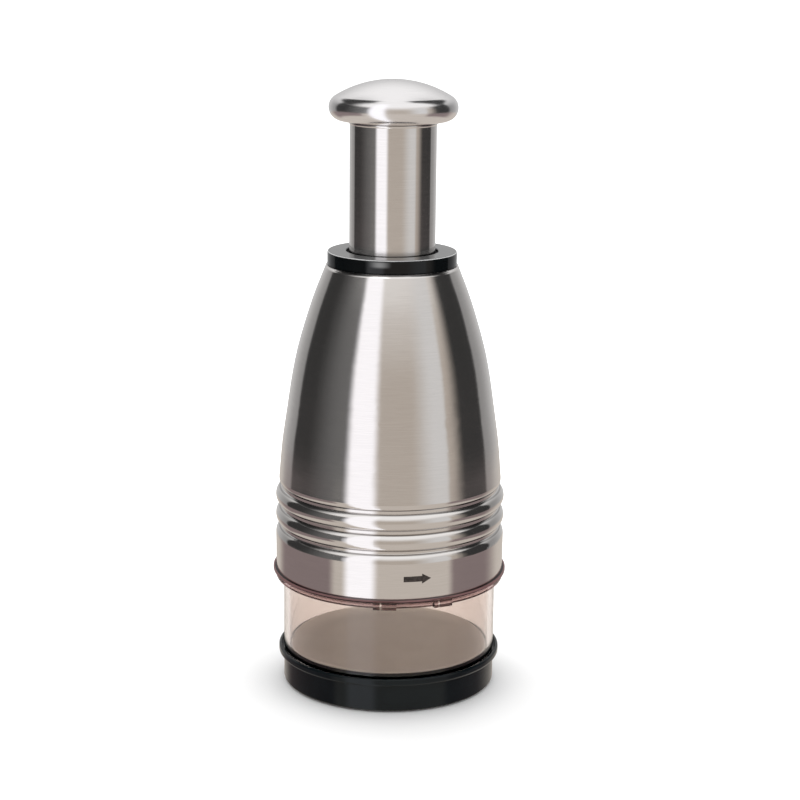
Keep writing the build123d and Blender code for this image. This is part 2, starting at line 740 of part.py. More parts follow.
with BuildPart() as plunger_core:
    extrude(ring_outline(journal_r + SLIDE_FIT, core_r, core_foot), amount=CORE_L)
    with BuildSketch(Plane.XY.offset(web_top)):
        Circle(core_pocket_r)
    extrude(amount=core_top - web_top, mode=Mode.SUBTRACT)
    with Locations((0, 0, core_top)):
        with PolarLocations(knob_screw_at, KNOB_SCREWS):
            Hole(KNOB_SCREW_R + SNUG, depth=CORE_L)
    with BuildSketch(Plane.XY.offset(core_foot)):
        with PolarLocations(knob_screw_at, KNOB_SCREWS):
            Circle(knob_pocket_r)
    extrude(amount=KNOB_SCREW_HEAD_H, mode=Mode.SUBTRACT)
write(plunger_core, "plunger_core")

rim_middle = (KNOB_R - KNOB_RIM_ROUND, tube_top + KNOB_RIM_RISE)
dome_middle_z = rim_middle[1] - sqrt((KNOB_DOME_R - KNOB_RIM_ROUND) ** 2 - rim_middle[0] ** 2)
dome_lean = atan2(rim_middle[0], rim_middle[1] - dome_middle_z)
neck_reach = hypot(rim_middle[0] - tube_r, KNOB_RIM_RISE)
under_slope = atan2(KNOB_RIM_RISE, rim_middle[0] - tube_r) - asin(KNOB_RIM_ROUND / neck_reach)


def knob_outline(inset, foot_z):
    """Half outline of the knob, moved in by inset, down to height foot_z."""
    dome = KNOB_DOME_R - inset
    rim = KNOB_RIM_ROUND - inset
    apex = (0, dome_middle_z + dome)
    over = (dome * sin(dome_lean), dome_middle_z + dome * cos(dome_lean))
    half_lean = dome_lean / 2
    widest = (rim_middle[0] + rim, rim_middle[1])
    under = (rim_middle[0] + rim * sin(under_slope), rim_middle[1] - rim * cos(under_slope))
    neck = (under[0] - (under[1] - foot_z) / tan(under_slope), foot_z)
    ThreePointArc(apex, (dome * sin(half_lean), dome_middle_z + dome * cos(half_lean)), over)
    ThreePointArc(over, widest, under)
    Line(under, neck)
    return apex, neck


with BuildPart() as knob_shell:
    with BuildSketch(Plane.XZ):
        with BuildLine():
            outer_apex, outer_neck = knob_outline(0, tube_top)
            inner_apex, inner_neck = knob_outline(KNOB_T, tube_top)
            Line(outer_apex, inner_apex)
            Line(outer_neck, inner_neck)
        make_face()
    revolve(axis=Axis.Z)
write(knob_shell, "knob_shell")

spigot_r = inner_neck[0] - SNUG

with BuildPart() as knob_core:
    with BuildSketch(Plane.XZ):
        with BuildLine():
            core_apex, core_neck = knob_outline(KNOB_T + SNUG, tube_top + SNUG)
            Polyline(
                core_neck,
                (spigot_r, tube_top + SNUG),
                (spigot_r, core_top),
                (0, core_top),
                core_apex,
            )
        make_face()
    revolve(axis=Axis.Z)
    with BuildSketch(Plane.XY.offset(core_top)):
        with PolarLocations(knob_screw_at, KNOB_SCREWS):
            Circle(KNOB_SCREW_R + SNUG)
    extrude(amount=KNOB_SCREW_L - CORE_L + KNOB_SCREW_HEAD_H + SNUG, mode=Mode.SUBTRACT)
write(knob_core, "knob_core")

with BuildPart() as core_screws:
    with BuildSketch(Plane.XY.offset(core_foot)):
        with PolarLocations(knob_screw_at, KNOB_SCREWS):
            Circle(KNOB_SCREW_HEAD_R)
    extrude(amount=KNOB_SCREW_HEAD_H)
    with BuildSketch(Plane.XY.offset(core_foot + KNOB_SCREW_HEAD_H)):
        with PolarLocations(knob_screw_at, KNOB_SCREWS):
            Circle(KNOB_SCREW_R)
    extrude(amount=KNOB_SCREW_L)
write(core_screws, "core_screws")

# ------------------------------------------------------------------ drive rod

groove_low = pin_z - GROOVE_SPARE
groove_high = pin_z + stroke + GROOVE_SPARE
groove_floor = ROD_R - GROOVE_DEPTH

with BuildPart() as groove_cutter:
    for station in range(GROOVE_STATIONS):
        height = groove_low + (groove_high - groove_low) * station / (GROOVE_STATIONS - 1)
        lean = radians(-turn_per_mm * (height - pin_z))
        level = Plane(origin=(0, 0, height), x_dir=(cos(lean), sin(lean), 0), z_dir=(0, 0, 1))
        with BuildSketch(level):
            with Locations((groove_floor + (GROOVE_DEPTH + EMBED) / 2, 0)):
                Rectangle(GROOVE_DEPTH + EMBED, GROOVE_W)
    loft()

with BuildPart() as drive_rod:
    with BuildSketch(Plane.XY.offset(rod_foot)):
        Circle(ROD_R)
    extrude(amount=rod_shoulder - rod_foot)
    with BuildSketch(Plane.XY.offset(rod_shoulder)):
        Circle(journal_r)
    extrude(amount=journal_top - rod_shoulder)
    with PolarLocations(0, GROOVES):
        add(groove_cutter.part, mode=Mode.SUBTRACT)
    with Locations((0, 0, journal_top)):
        Hole(ROD_SCREW_R + SNUG, depth=ROD_SCREW_BITE + SNUG)
    with Locations(Plane.XY.offset(rod_foot) * Location((0, 0, 0), (180, 0, 0))):
        Hole(HOLDER_SCREW_R + SNUG, depth=HOLDER_SCREW_BITE + SNUG)
write(drive_rod, "drive_rod")

with BuildPart() as rod_washer:
    extrude(ring_outline(ROD_SCREW_R + SNUG, washer_r, journal_top), amount=WASHER_T)
write(rod_washer, "rod_washer")

with BuildPart() as rod_screw:
    with BuildSketch(Plane.XY.offset(journal_top - ROD_SCREW_BITE)):
        Circle(ROD_SCREW_R)
    extrude(amount=ROD_SCREW_BITE + WASHER_T)
    with BuildSketch(Plane.XY.offset(screw_seat)):
        Circle(ROD_SCREW_HEAD_R)
    extrude(amount=ROD_SCREW_HEAD_H)
write(rod_screw, "rod_screw")

# ------------------------------------------------------------------ blade and scraper

screw_well = holder_foot + HOLDER_SCREW_HEAD_H

with BuildPart() as blade_holder:
    with BuildSketch(Plane.XY.offset(holder_foot)):
        Circle(holder_r)
    extrude(amount=HOLDER_T)
    fillet(blade_holder.edges().group_by(Axis.Z)[-1], radius=HOLDER_ROUND)
    with BuildSketch(Plane.XY.offset(holder_top)):
        Circle(hub_r)
    extrude(amount=HUB_H)
    with BuildSketch(Plane.XY.offset(rod_foot)):
        Circle(ROD_R + SNUG)
    extrude(amount=ROD_SEAT, mode=Mode.SUBTRACT)
    with BuildSketch(Plane.XY.offset(holder_foot)):
        Circle(HOLDER_SCREW_R + SNUG)
    extrude(amount=rod_foot - holder_foot, mode=Mode.SUBTRACT)
    with BuildSketch(Plane.XY.offset(holder_foot)):
        Circle(HOLDER_SCREW_HEAD_R + SNUG)
    extrude(amount=HOLDER_SCREW_HEAD_H, mode=Mode.SUBTRACT)
    extrude(
        zigzag_outline(BLADE_T + 2 * SNUG, holder_foot, SNUG),
        amount=BLADE_GRIP + SNUG,
        mode=Mode.SUBTRACT,
    )
write(blade_holder, "blade_holder")

with BuildPart() as zigzag_blade:
    grind_top = blade_edge + BLADE_EDGE_H
    extrude(zigzag_outline(BLADE_T, grind_top), amount=holder_foot + BLADE_GRIP - grind_top)
    loft([zigzag_outline(BLADE_EDGE_T, blade_edge), zigzag_outline(BLADE_T, grind_top)], ruled=True)
write(zigzag_blade, "zigzag_blade")

with BuildPart() as holder_screw:
    with BuildSketch(Plane.XY.offset(holder_foot)):
        Circle(HOLDER_SCREW_HEAD_R)
    extrude(amount=HOLDER_SCREW_HEAD_H)
    with BuildSketch(Plane.XY.offset(screw_well)):
        Circle(HOLDER_SCREW_R)
    extrude(amount=rod_foot + HOLDER_SCREW_BITE - screw_well)
write(holder_screw, "holder_screw")

with BuildPart() as scraper_disc:
    with BuildSketch(Plane.XY.offset(scraper_foot)):
        Circle(neck_bore - RUN_GAP)
    extrude(amount=SCRAPER_T)
    extrude(
        zigzag_outline(SCRAPER_SLOT, scraper_foot - EMBED, (SCRAPER_SLOT - BLADE_T) / 2),
        amount=SCRAPER_T + 2 * EMBED,
        mode=Mode.SUBTRACT,
    )
write(scraper_disc, "scraper_disc")
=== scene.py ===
"""Plunger food chopper: finishes, small pieces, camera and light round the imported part.

Metres, +Z up along the plunger, the front faces -Y.
"""

import json
from math import cos, pi, radians, sin

import bmesh
import bpy
from mathutils import Matrix, Vector


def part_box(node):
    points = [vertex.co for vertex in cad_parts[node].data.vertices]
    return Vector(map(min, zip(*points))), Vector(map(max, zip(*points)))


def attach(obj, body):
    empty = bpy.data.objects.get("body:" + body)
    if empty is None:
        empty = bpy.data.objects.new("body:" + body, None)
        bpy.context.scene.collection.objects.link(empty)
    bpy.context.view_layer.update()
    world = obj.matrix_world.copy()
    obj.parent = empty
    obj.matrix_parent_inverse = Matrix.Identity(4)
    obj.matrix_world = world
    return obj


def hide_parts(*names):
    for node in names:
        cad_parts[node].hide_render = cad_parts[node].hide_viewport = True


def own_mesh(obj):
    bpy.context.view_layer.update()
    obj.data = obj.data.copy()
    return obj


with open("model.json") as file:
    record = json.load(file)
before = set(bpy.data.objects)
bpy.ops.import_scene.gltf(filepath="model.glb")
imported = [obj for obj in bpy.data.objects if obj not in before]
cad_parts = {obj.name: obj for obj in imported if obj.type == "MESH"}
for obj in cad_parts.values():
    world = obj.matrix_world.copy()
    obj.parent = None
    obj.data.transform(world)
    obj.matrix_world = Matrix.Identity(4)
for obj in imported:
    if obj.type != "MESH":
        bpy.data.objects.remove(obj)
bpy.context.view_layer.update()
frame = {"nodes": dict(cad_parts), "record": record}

# ------------------------------------------------------------------ sizes

MM = 0.001

# Camera
CAMERA_AT = (-0.2 * MM, -777.1 * MM, 299.8 * MM)
CAMERA_PITCH = 0.2348      # radians below level
CAMERA_YAW = -0.0049
CAMERA_ROLL = 0.0105
CAMERA_LENS = 91.67        # millimetres
CAMERA_SENSOR = 36.0       # millimetres

# Container
FLANGE_FOOT = 43.3 * MM
LIP_PAINTED_SHADE_TO_Z = 46.12 * MM
LIP_SHADE_LINE = 0.55 * MM       # width of the painted shade line beside the band
LIP_SOFT = 0.05 * MM       # half the width over which the lip's tones change
INDEX_SLITS = (-4.0, 24.0)  # degrees from the front towards +X
SLIT_HALF = (0.35, 0.55)   # degrees from a slit's middle to where it starts and ends to fade
FLANGE_SOFT = 0.2 * MM

# Steel
LINE_DULL = 0.95           # tone of the brushed lines over that of the steel
BELL_FOOT_Z = 83.4 * MM
GROOVES_Z = (64.7 * MM, 72.55 * MM, 80.4 * MM)
GROOVE_EDGE = 0.85 * MM    # from the middle of a groove to its corners
GROOVE_LINE = 0.35 * MM
GROOVE_PAINTED_SHADE = 0.55         # share of the steel's colour left in the corners under their painted shade
SHOULDER_Z = 167.9 * MM
SHOULDER_BEND = 1.3 * MM   # height over which the bell's top edge rolls inwards
SHOULDER_RELIEF = 0.6      # depth of that roll over its height
TUBE_RIM_Z = 222.55 * MM
RIM_SOFT = 0.3 * MM
RIM_PAINTED_SHADE = 0.3             # share of the steel's colour left under the rim, painted shade under the knob
BEAD_SMOOTH = 0.7          # roughness of the beads and band over that of the bell

# Collar ring, with a painted highlight on its flat top and along its rounded top edge
COLLAR_TOP_HIGHLIGHT_TONE = 0.10
COLLAR_TOP_HIGHLIGHT_FROM = (0.06 * MM, 0.02 * MM)    # under the top, where its painted highlight fades in
COLLAR_EDGE_HIGHLIGHT_TONE = 0.50
COLLAR_EDGE_HIGHLIGHT_FROM = (0.50 * MM, 0.42 * MM)   # short of a sharp top corner, where the edge's painted highlight fades in

# Arrow on the steel band, pointing the way the housing turns to open
ARROW_START = 7.0          # degrees from the front towards +X
ARROW_END = 20.6
ARROW_HEAD = 4.5           # degrees that the head takes
ARROW_MIDDLE_Z = 54.85 * MM
ARROW_SHAFT_H = 2.15 * MM
ARROW_HEAD_H = 3.9 * MM
BAND_R = 45.0 * MM
ARROW_PROUD = 0.05 * MM
ARROW_SUNK = 0.15 * MM
ARROW_STEPS = 6            # along the shaft, and along the head
ARROW_TIP = 0.02 * MM      # half the height of the head's tip

# Light
KEY_POWER = 13.0           # watts
KEY_AT = (-0.04, 0.2, 1.2)  # metres
KEY_SIZE = (1.0, 1.0)
FILL_POWER = 2.0
FILL_AT = (0.9, -0.6, 0.8)
FILL_SIZE = (0.8, 0.8)
LAMP_AIM = (0.0, 0.0, 0.1)
SOFT_LOW = 0.60            # light that matt surfaces get from below and from above
SOFT_HIGH = 0.78
FLOOR_REACH = 60.0         # metres from the axis to a side of the table top
FLOOR_LIFT = 0.0           # how much the table top glows for the camera near the chopper
FLOOR_NEAR = 0.12          # metres from the axis
FLOOR_FAR = 0.45
FLOOR_FAR_LIFT = 0.8       # the same far from it
COLLAR_CARD_LEVEL = 7.5
COLLAR_CARD_AT = -12.0     # degrees from the front towards +X
COLLAR_CARD_OUT = 28.0 * MM
COLLAR_CARD_SPAN = 25.0    # degrees
COLLAR_CARD_Z = (169.4 * MM, 172.7 * MM)
COLLAR_CARD_FADE = 1.2 * MM

# Studio that only mirrors see
WALL = (0.50, 0.45, 0.40)
TABLE = (0.60, 0.55, 0.50)
CEILING = (1.0, 1.0, 1.0)
BACK_DIM = 0.30            # the wall behind, at its sides
BACK_PALE = 0.60           # the wall behind, in its middle
BACK_PALE_FROM = (120.0, 165.0)    # degrees off the front
BACK_FROM = (85.0, 95.0)   # degrees off the front
WALL_FROM = (-15.0, -10.0)  # degrees above level
CEILING_FROM = (10.0, 50.0)
CARD = (1.20, 1.20, 1.25)
PALE = (0.70, 0.70, 0.70)
DIM = (0.15, 0.15, 0.15)
DARK = (0.04, 0.04, 0.04)
SHADE = (0.25, 0.20, 0.20)
PANEL_SOFT = 6.0           # degrees over which a panel's foot and top fade
# Sides, fades past them, foot and top, tone. Sides in degrees from the front towards +X
PANELS = (
    ((-130.0, -65.0), (25.0, 10.0), (-30.0, -15.0), SHADE),  # shade on the table
    ((70.0, 110.0), (10.0, 35.0), (-30.0, -15.0), SHADE),
    ((-120.0, -50.0), (5.0, 5.0), (-10.0, 30.0), DARK),      # dark wall at the left
    ((-55.0, -45.0), (45.0, 5.0), (-10.0, 30.0), DIM),       # light of the card on it
    ((50.0, 60.0), (30.0, 5.0), (-10.0, 30.0), PALE),        # pale door at the right
    ((85.0, 115.0), (20.0, 5.0), (-10.0, 30.0), DARK),       # dark wall at the right
    ((-145.0, -105.0), (10.0, 45.0), (35.0, 70.0), DARK),    # dark corners of the ceiling
    ((110.0, 145.0), (25.0, 10.0), (35.0, 70.0), DARK),
    ((-40.0, -20.0), (10.0, 10.0), (-90.0, 65.0), CARD),     # the tall card
)
STRIP_BEHIND = ((165.0, 200.0), (5.0, 0.0), (5.0, 70.0), (0.95, 0.95, 0.95))

# Return spring, standing on the nut cap
SPRING_FOOT = 129.1 * MM
SPRING_TOP = 195.2 * MM
SPRING_R = 11.5 * MM
WIRE_R = 0.85 * MM
SPRING_TURNS = 9.0
WIRE_SIDES = 12
TURN_STEPS = 48


# ------------------------------------------------------------------ shader helpers


def add(tree, kind, inputs=None, **settings):
    """A node of the given kind. Each input takes a value, or a socket to link from."""
    node = tree.nodes.new(kind)
    for key, value in settings.items():
        setattr(node, key, value)
    for key, value in (inputs or {}).items():
        if isinstance(value, bpy.types.NodeSocket):
            tree.links.new(value, node.inputs[key])
        else:
            node.inputs[key].default_value = value
    return node


def math(tree, operation, *values, clamp=False):
    """The output of a Math node."""
    inputs = dict(enumerate(values))
    return add(tree, "ShaderNodeMath", inputs, operation=operation, use_clamp=clamp).outputs[0]


def span(tree, value, low, high, to_low=0.0, to_high=1.0, smooth=True):
    """The value taken from low..high to another range."""
    kind = "SMOOTHSTEP" if smooth else "LINEAR"
    inputs = {
        "Value": value, "From Min": low, "From Max": high, "To Min": to_low, "To Max": to_high,
    }
    return add(tree, "ShaderNodeMapRange", inputs, interpolation_type=kind).outputs[0]


def blend_colour(tree, share, one, other, mode="MIX"):
    """Two colours mixed by a share."""
    node = add(tree, "ShaderNodeMix", data_type="RGBA", blend_type=mode)
    for socket, value in ((node.inputs[0], share), (node.inputs[6], one), (node.inputs[7], other)):
        if isinstance(value, bpy.types.NodeSocket):
            tree.links.new(value, socket)
        else:
            socket.default_value = value
    return node.outputs[2]


def effect(name, inputs, outputs):
    """An empty shader node group with named sockets: the tree, its input and output nodes."""
    tree = bpy.data.node_groups.new(name, "ShaderNodeTree")
    for label, default in inputs:
        socket = tree.interface.new_socket(label, in_out="INPUT", socket_type="NodeSocketFloat")
        socket.default_value = default
    for label, kind in outputs:
        tree.interface.new_socket(label, in_out="OUTPUT", socket_type=kind)
    return tree, tree.nodes.new("NodeGroupInput"), tree.nodes.new("NodeGroupOutput")


def use(tree, group, **values):
    """A group placed in a material with its own values."""
    node = add(tree, "ShaderNodeGroup", node_tree=group)
    for label, value in values.items():
        node.inputs[label.replace("_", " ")].default_value = value
    return node.outputs


def principled(name, **values):
    """A material with one Principled shader: the material, its tree and the shader."""
    material = bpy.data.materials.new(name)
    material.use_nodes = True
    tree = material.node_tree
    tree.nodes.clear()
    skin = add(tree, "ShaderNodeBsdfPrincipled")
    for label, value in values.items():
        skin.inputs[label.replace("_", " ")].default_value = value
    add(tree, "ShaderNodeOutputMaterial", {"Surface": skin.outputs[0]})
    return material, tree, skin


def bump(tree, height, strength, distance, over=None):
    """The normal of a bumped surface, over another bump where one is given."""
    inputs = {"Height": height, "Strength": strength, "Distance": distance}
    if over is not None:
        inputs["Normal"] = over
    return add(tree, "ShaderNodeBump", inputs).outputs[0]


def round_axis(tree):
    """A point's place on the object, its three coordinates and its distance from the axis."""
    place = add(tree, "ShaderNodeTexCoord").outputs["Object"]
    parts = add(tree, "ShaderNodeSeparateXYZ", {0: place}).outputs
    flat = add(tree, "ShaderNodeCombineXYZ", {0: parts[0], 1: parts[1]}).outputs[0]
    out = add(tree, "ShaderNodeVectorMath", {0: flat}, operation="LENGTH").outputs["Value"]
    return place, parts, out


def from_front(tree, parts):
    """The turn round the axis, in radians from the front towards +X."""
    return math(tree, "ARCTAN2", parts[0], math(tree, "MULTIPLY", parts[1], -1.0))


def clear_for(tree, skin, rays, colour):
    """Lets the given rays straight through a material's surface, tinted by a colour."""
    clear = add(tree, "ShaderNodeBsdfTransparent", {0: colour}).outputs[0]
    mixed = add(tree, "ShaderNodeMixShader", {0: rays, 1: skin.outputs[0], 2: clear})
    surface = next(node for node in tree.nodes if node.type == "OUTPUT_MATERIAL")
    tree.links.new(mixed.outputs[0], surface.inputs["Surface"])


def grey(value):
    """An opaque grey."""
    return (value, value, value, 1.0)


# ------------------------------------------------------------------ shared effects


def turned_grain():
    """Fine lines that run round the axis, as a spun or turned surface is brushed."""
    tree, given, result = effect(
        "turned grain",
        (("Lines", 4000.0), ("Around", 18.0)),
        (("Lines", "NodeSocketFloat"), ("Cloud", "NodeSocketFloat")),
    )
    place, parts, out = round_axis(tree)
    across = math(tree, "MULTIPLY", math(tree, "SUBTRACT", out, parts[2]), given.outputs["Lines"])
    x = math(tree, "MULTIPLY", parts[0], given.outputs["Around"])
    y = math(tree, "MULTIPLY", parts[1], given.outputs["Around"])
    stretched = add(tree, "ShaderNodeCombineXYZ", {0: x, 1: y, 2: across}).outputs[0]
    lines = add(tree, "ShaderNodeTexNoise", {"Vector": stretched, "Scale": 1.0, "Detail": 3.0})
    cloud = add(tree, "ShaderNodeTexNoise", {"Vector": place, "Scale": 45.0, "Detail": 2.0})
    tree.links.new(lines.outputs[0], result.inputs["Lines"])
    tree.links.new(cloud.outputs[0], result.inputs["Cloud"])
    return tree


def moulded_skin():
    """The faint orange peel and flow marks of moulded plastic."""
    tree, given, result = effect(
        "moulded skin",
        (("Fine", 1500.0), ("Broad", 60.0)),
        (("Height", "NodeSocketFloat"), ("Tone", "NodeSocketFloat")),
    )
    place = add(tree, "ShaderNodeTexCoord").outputs["Object"]
    fine = add(tree, "ShaderNodeTexNoise", {"Vector": place, "Detail": 2.0})
    tree.links.new(given.outputs["Fine"], fine.inputs["Scale"])
    broad = add(tree, "ShaderNodeTexNoise", {"Vector": place, "Detail": 3.0})
    tree.links.new(given.outputs["Broad"], broad.inputs["Scale"])
    tree.links.new(fine.outputs[0], result.inputs["Height"])
    tree.links.new(broad.outputs[0], result.inputs["Tone"])
    return tree


TURNED_GRAIN = turned_grain()
MOULDED_SKIN = moulded_skin()

# ------------------------------------------------------------------ materials


def painted_crevice_shade(tree, height):
    """How much painted shade darkens the steel at a height: in the groove corners and on the tube's
    rim under the knob.
    """
    unshaded_share = span(tree, height, TUBE_RIM_Z - RIM_SOFT, TUBE_RIM_Z, 1.0, RIM_PAINTED_SHADE)
    for groove in GROOVES_Z:
        off = math(tree, "ABSOLUTE", math(tree, "SUBTRACT", height, groove))
        edge = math(tree, "ABSOLUTE", math(tree, "SUBTRACT", off, GROOVE_EDGE))
        line = span(tree, edge, GROOVE_LINE, 0.3 * GROOVE_LINE, 1.0, GROOVE_PAINTED_SHADE)
        unshaded_share = math(tree, "MULTIPLY", unshaded_share, line)
    return unshaded_share


def turned_steel(name, rough, rough_swing, lines, grain, anisotropy, tint, folded=False):
    """Stainless steel brushed round the axis; the folded kind has smoother beads and painted shade
    in its groove corners and under the tube's rim.
    """
    material, tree, skin = principled(name, Metallic=1.0, Anisotropic=anisotropy)
    marks = use(tree, TURNED_GRAIN, Lines=lines, Around=110.0)
    place = add(tree, "ShaderNodeTexCoord").outputs["Object"]
    height = add(tree, "ShaderNodeSeparateXYZ", {0: place}).outputs[2]
    darker = (*(LINE_DULL * level for level in tint), 1.0)
    colour = blend_colour(tree, span(tree, marks["Lines"], 0.3, 0.7), darker, (*tint, 1.0))
    mixed = math(tree, "ADD", marks["Lines"], math(tree, "MULTIPLY", marks["Cloud"], 0.5))
    roughness = span(tree, mixed, 0.35, 1.15, rough - rough_swing, rough + rough_swing, False)
    shoulder = None
    if folded:
        # Painted shade: the groove corners and the tube's rim under the knob are darkened in the
        # colour
        unshaded_share = painted_crevice_shade(tree, height)
        shade = add(tree, "ShaderNodeCombineColor", dict.fromkeys(range(3), unshaded_share))
        colour = blend_colour(tree, 1.0, colour, shade.outputs[0], "MULTIPLY")
        smoother = span(tree, height, BELL_FOOT_Z - MM, BELL_FOOT_Z + 2 * MM, BEAD_SMOOTH, 1.0)
        roughness = math(tree, "MULTIPLY", roughness, smoother)
        bend = span(tree, height, SHOULDER_Z, SHOULDER_Z - SHOULDER_BEND, 0.0, 1.0, False)
        unbent = math(tree, "POWER", math(tree, "SUBTRACT", 1.0, bend), 2.0)
        bend = math(tree, "SUBTRACT", 1.0, unbent)
        below_collar = span(tree, height, SHOULDER_Z + 0.3 * MM, SHOULDER_Z + 0.5 * MM)
        bend = math(tree, "MAXIMUM", bend, below_collar)
        shoulder = bump(tree, bend, 1.0, SHOULDER_BEND * SHOULDER_RELIEF)
    tree.links.new(colour, skin.inputs["Base Color"])
    tree.links.new(roughness, skin.inputs["Roughness"])
    grained = bump(tree, marks["Lines"], grain, 0.02 * MM, over=shoulder)
    tree.links.new(grained, skin.inputs["Normal"])
    upright = add(tree, "ShaderNodeCombineXYZ", {2: 1.0}).outputs[0]
    tree.links.new(upright, skin.inputs["Tangent"])
    return material


def black_moulding(name, gloss_ior, smooth, rough):
    """Black plastic with a greenish cast."""
    material, tree, skin = principled(name, IOR=gloss_ior)
    marks = use(tree, MOULDED_SKIN, Fine=900.0, Broad=70.0)
    tone = span(tree, marks["Tone"], 0.35, 0.65)
    colour = blend_colour(tree, tone, (0.002, 0.0045, 0.006, 1.0), (0.004, 0.0075, 0.009, 1.0))
    tree.links.new(colour, skin.inputs["Base Color"])
    tree.links.new(span(tree, marks["Tone"], 0.3, 0.7, smooth, rough), skin.inputs["Roughness"])
    tree.links.new(bump(tree, marks["Height"], 0.03, 0.05 * MM), skin.inputs["Normal"])
    return material


def collar_moulding():
    """Black polished plastic, with a painted highlight on its flat top and along its rounded top
    edge.
    """
    material, tree, skin = principled("black polished plastic", IOR=1.42)
    marks = use(tree, MOULDED_SKIN, Fine=900.0, Broad=70.0)
    tone = span(tree, marks["Tone"], 0.35, 0.65)
    colour = blend_colour(tree, tone, (0.0010, 0.0016, 0.002, 1.0), (0.002, 0.003, 0.0035, 1.0))
    _, parts, out = round_axis(tree)
    rim_r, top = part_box("collar_ring")[1][0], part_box("collar_ring")[1][2]
    # Painted highlight: the flat top and the rounded top edge are lighter in the colour
    top_highlight = span(tree, parts[2], *(top - depth for depth in COLLAR_TOP_HIGHLIGHT_FROM))
    colour = blend_colour(tree, top_highlight, colour, grey(COLLAR_TOP_HIGHLIGHT_TONE))
    corner = math(tree, "SUBTRACT", math(tree, "ADD", out, parts[2]), rim_r + top)
    edge = span(tree, corner, *(-short for short in COLLAR_EDGE_HIGHLIGHT_FROM))
    colour = blend_colour(tree, edge, colour, grey(COLLAR_EDGE_HIGHLIGHT_TONE))
    tree.links.new(colour, skin.inputs["Base Color"])
    tree.links.new(span(tree, marks["Tone"], 0.3, 0.7, 0.06, 0.09), skin.inputs["Roughness"])
    return material


def lip_moulding():
    """Brown satin plastic with painted shade: black in a line beside the steel band, and black at
    the foot of the lip seen head on, giving way to the brown at a glancing view as a painted sheen.
    """
    material, tree, skin = principled("brown black satin plastic", IOR=1.3)
    marks = use(tree, MOULDED_SKIN, Fine=900.0, Broad=70.0)
    tone = span(tree, marks["Tone"], 0.35, 0.65)
    brown = blend_colour(tree, tone, (0.16, 0.08, 0.08, 1.0), (0.19, 0.10, 0.098, 1.0))
    _, parts, out = round_axis(tree)
    line_r = BAND_R + LIP_SHADE_LINE
    # Painted shade of the gap beside the band; the foot's black turns to a painted brown sheen at a
    # glancing view
    band_gap_shade = span(tree, out, line_r + LIP_SOFT, line_r - LIP_SOFT)
    foot = span(tree, parts[2], LIP_PAINTED_SHADE_TO_Z + 0.06 * MM, LIP_PAINTED_SHADE_TO_Z - 0.06 * MM)
    glancing = add(tree, "ShaderNodeLayerWeight", {"Blend": 0.5}).outputs["Facing"]
    foot = math(tree, "MULTIPLY", foot, span(tree, glancing, 0.6, 0.3))
    dark = math(tree, "MAXIMUM", band_gap_shade, foot)
    colour = blend_colour(tree, dark, brown, (0.006, 0.003, 0.003, 1.0))
    tree.links.new(colour, skin.inputs["Base Color"])
    tree.links.new(span(tree, marks["Tone"], 0.3, 0.7, 0.3, 0.4), skin.inputs["Roughness"])
    return material


def pale_moulding(name, low_tone, high_tone):
    """Satin off-white plastic."""
    material, tree, skin = principled(name, IOR=1.49)
    marks = use(tree, MOULDED_SKIN, Fine=1400.0, Broad=55.0)
    tone = span(tree, marks["Tone"], 0.3, 0.7)
    colour = blend_colour(tree, tone, (*low_tone, 1.0), (*high_tone, 1.0))
    tree.links.new(colour, skin.inputs["Base Color"])
    tree.links.new(span(tree, marks["Tone"], 0.3, 0.7, 0.38, 0.5), skin.inputs["Roughness"])
    tree.links.new(bump(tree, marks["Height"], 0.12, 0.05 * MM), skin.inputs["Normal"])
    return material


def smoke_clear():
    """Clear smoke-tinted plastic, deeper in tone where the flange is seen edge on."""
    material, tree, skin = principled(
        "smoke clear plastic", Transmission_Weight=1.0, IOR=1.49, Metallic=0.0
    )
    marks = use(tree, MOULDED_SKIN, Fine=400.0, Broad=40.0)
    tone = span(tree, marks["Tone"], 0.3, 0.7)
    wall = blend_colour(tree, tone, (0.76, 0.675, 0.625, 1.0), (0.80, 0.72, 0.67, 1.0))
    place = add(tree, "ShaderNodeTexCoord").outputs["Object"]
    parts = add(tree, "ShaderNodeSeparateXYZ", {0: place}).outputs
    flange = span(tree, parts[2], FLANGE_FOOT - FLANGE_SOFT, FLANGE_FOOT + FLANGE_SOFT)
    colour = blend_colour(tree, flange, wall, (0.25, 0.145, 0.14, 1.0))
    across = from_front(tree, parts)
    fade_start, fade_end = (radians(half) for half in SLIT_HALF)
    for slit_at in INDEX_SLITS:
        off = math(tree, "ABSOLUTE", math(tree, "SUBTRACT", across, radians(slit_at)))
        slit = math(tree, "MULTIPLY", span(tree, off, fade_end, fade_start), flange)
        colour = blend_colour(tree, slit, colour, (1.0, 0.95, 0.90, 1.0))
    tree.links.new(colour, skin.inputs["Base Color"])
    tree.links.new(span(tree, marks["Tone"], 0.3, 0.7, 0.02, 0.05), skin.inputs["Roughness"])
    shadow = add(tree, "ShaderNodeLightPath").outputs["Is Shadow Ray"]
    clear_for(tree, skin, shadow, (0.92, 0.87, 0.83, 1.0))
    return material


def soft_rubber():
    """Matt black rubber."""
    material, tree, skin = principled("black rubber", IOR=1.5)
    marks = use(tree, MOULDED_SKIN, Fine=2500.0, Broad=120.0)
    tone = span(tree, marks["Tone"], 0.3, 0.7)
    colour = blend_colour(tree, tone, grey(0.022), grey(0.035))
    tree.links.new(colour, skin.inputs["Base Color"])
    tree.links.new(span(tree, marks["Tone"], 0.3, 0.7, 0.7, 0.85), skin.inputs["Roughness"])
    tree.links.new(bump(tree, marks["Height"], 0.3, 0.05 * MM), skin.inputs["Normal"])
    return material


